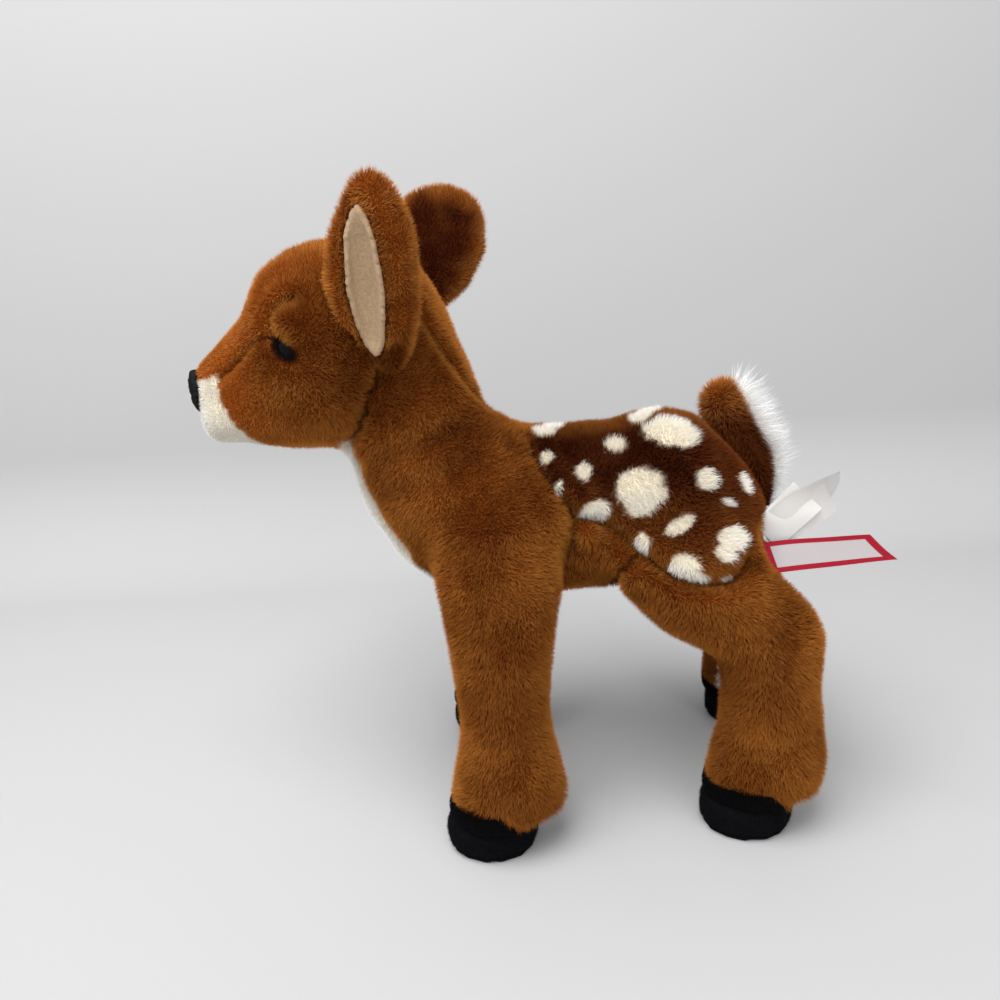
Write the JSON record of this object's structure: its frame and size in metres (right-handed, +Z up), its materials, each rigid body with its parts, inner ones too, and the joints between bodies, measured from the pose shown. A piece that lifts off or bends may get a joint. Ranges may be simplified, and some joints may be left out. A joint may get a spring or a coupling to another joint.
{
  "type": "plush fawn toy",
  "caption": "Standing plush fawn with sewn covers over stuffing, a spotted back panel, cupped ears, felt hooves, a raised tail and limbs that flex at their seams.",
  "frame": {"origin": "on the plane that the soles stand on, under the middle of the whole toy with its labels", "axes": "+Z up, +X from the nose towards the tail, +Y towards the fawn's right side"},
  "size_m": [0.3436, 0.158, 0.335],
  "materials": {
    "brown_plush": "soft short-pile plush, mid brown, lighter at the pile's tips",
    "spotted_plush": "soft short-pile plush, dark red-brown with cream spots",
    "cream_plush": "soft short-pile plush, cream white",
    "ear_suede": "smooth beige suede cloth",
    "black_felt": "black brushed felt",
    "black_thread": "black satin-stitched thread",
    "eye_plastic": "polished black dome",
    "red_ribbon": "woven ribbon, red border round a pale field",
    "white_satin": "thin white satin tape",
    "stuffing": "white polyester fibre",
    "washer_plastic": "plain moulded nylon"
  },
  "bodies": {
    "torso": {"flank_left": "brown_plush", "flank_right": "brown_plush", "back_panel": "spotted_plush", "belly_panel": "cream_plush", "body_stuffing": "stuffing"},
    "neck": {"neck_cover": "brown_plush", "throat_panel": "cream_plush", "neck_stuffing": "stuffing"},
    "head": {"head_side_left": "brown_plush", "head_side_right": "brown_plush", "head_gusset": "brown_plush", "muzzle_panel": "cream_plush", "head_stuffing": "stuffing", "nose": "black_thread", "eye_left": "eye_plastic", "eye_right": "eye_plastic", "eye_washer_left": "washer_plastic", "eye_washer_right": "washer_plastic"},
    "ear_left": {"ear_back_left": "brown_plush", "ear_lining_left": "ear_suede"},
    "ear_right": {"ear_back_right": "brown_plush", "ear_lining_right": "ear_suede"},
    "tail": {"tail_top": "brown_plush", "tail_underside": "cream_plush"},
    "leg_front_left": {"leg_outer_front_left": "brown_plush", "leg_inner_front_left": "cream_plush", "leg_stuffing_front_left": "stuffing", "hoof_cup_front_left": "black_felt", "hoof_sole_front_left": "black_felt"},
    "leg_front_right": {"leg_outer_front_right": "brown_plush", "leg_inner_front_right": "cream_plush", "leg_stuffing_front_right": "stuffing", "hoof_cup_front_right": "black_felt", "hoof_sole_front_right": "black_felt"},
    "leg_rear_left": {"leg_outer_rear_left": "brown_plush", "leg_inner_rear_left": "cream_plush", "leg_stuffing_rear_left": "stuffing", "hoof_cup_rear_left": "black_felt", "hoof_sole_rear_left": "black_felt"},
    "leg_rear_right": {"leg_outer_rear_right": "brown_plush", "leg_inner_rear_right": "cream_plush", "leg_stuffing_rear_right": "stuffing", "hoof_cup_rear_right": "black_felt", "hoof_sole_rear_right": "black_felt"},
    "ribbon": {"ribbon_label": "red_ribbon"},
    "care": {"care_label_1": "white_satin", "care_label_2": "white_satin", "care_label_3": "white_satin"}
  },
  "joints": [
    {"name": "neck_turn", "type": "hinge", "parent": "torso", "child": "neck", "pos_m": [-0.05, 0, 0.197], "axis": [-0.454, 0, 0.891], "range_deg": [-20, 20], "stiffness_Nm_per_rad": 1},
    {"name": "head_nod", "type": "hinge", "parent": "neck", "child": "head", "pos_m": [-0.079, 0, 0.258], "axis": [0, 1, 0], "range_deg": [-12, 12], "stiffness_Nm_per_rad": 1},
    {"name": "ear_left_flop", "type": "hinge", "parent": "head", "child": "ear_left", "pos_m": [-0.064, -0.0344, 0.25], "axis": [1, 0, 0], "range_deg": [-8, 40], "stiffness_Nm_per_rad": 0.02},
    {"name": "ear_right_flop", "type": "hinge", "parent": "head", "child": "ear_right", "pos_m": [-0.064, 0.0344, 0.25], "axis": [1, 0, 0], "range_deg": [-40, 8], "stiffness_Nm_per_rad": 0.02},
    {"name": "tail_lift", "type": "hinge", "parent": "torso", "child": "tail", "pos_m": [0.124, 0, 0.16], "axis": [0, 1, 0], "range_deg": [0, 60], "stiffness_Nm_per_rad": 0.03},
    {"name": "leg_front_left_swing", "type": "hinge", "parent": "torso", "child": "leg_front_left", "pos_m": [-0.023, 0, 0.19], "axis": [0, 1, 0], "range_deg": [-8, 8], "stiffness_Nm_per_rad": 1.5},
    {"name": "leg_front_right_swing", "type": "hinge", "parent": "torso", "child": "leg_front_right", "pos_m": [-0.023, 0, 0.19], "axis": [0, 1, 0], "range_deg": [-8, 8], "stiffness_Nm_per_rad": 1.5},
    {"name": "leg_rear_left_swing", "type": "hinge", "parent": "torso", "child": "leg_rear_left", "pos_m": [0.077, 0, 0.182], "axis": [0, 1, 0], "range_deg": [-8, 8], "stiffness_Nm_per_rad": 1.5},
    {"name": "leg_rear_right_swing", "type": "hinge", "parent": "torso", "child": "leg_rear_right", "pos_m": [0.077, 0, 0.182], "axis": [0, 1, 0], "range_deg": [-8, 8], "stiffness_Nm_per_rad": 1.5},
    {"name": "ribbon_flap", "type": "hinge", "parent": "torso", "child": "ribbon", "pos_m": [0.113, -0.036, 0.143], "axis": [-0.0215, 0.788, 0.6153], "range_deg": [-15, 15], "stiffness_Nm_per_rad": 0.005},
    {"name": "care_flap", "type": "hinge", "parent": "torso", "child": "care", "pos_m": [0.117, -0.022, 0.151], "axis": [-0.6157, 0, 0.788], "range_deg": [-15, 2], "stiffness_Nm_per_rad": 0.005}
  ]
}
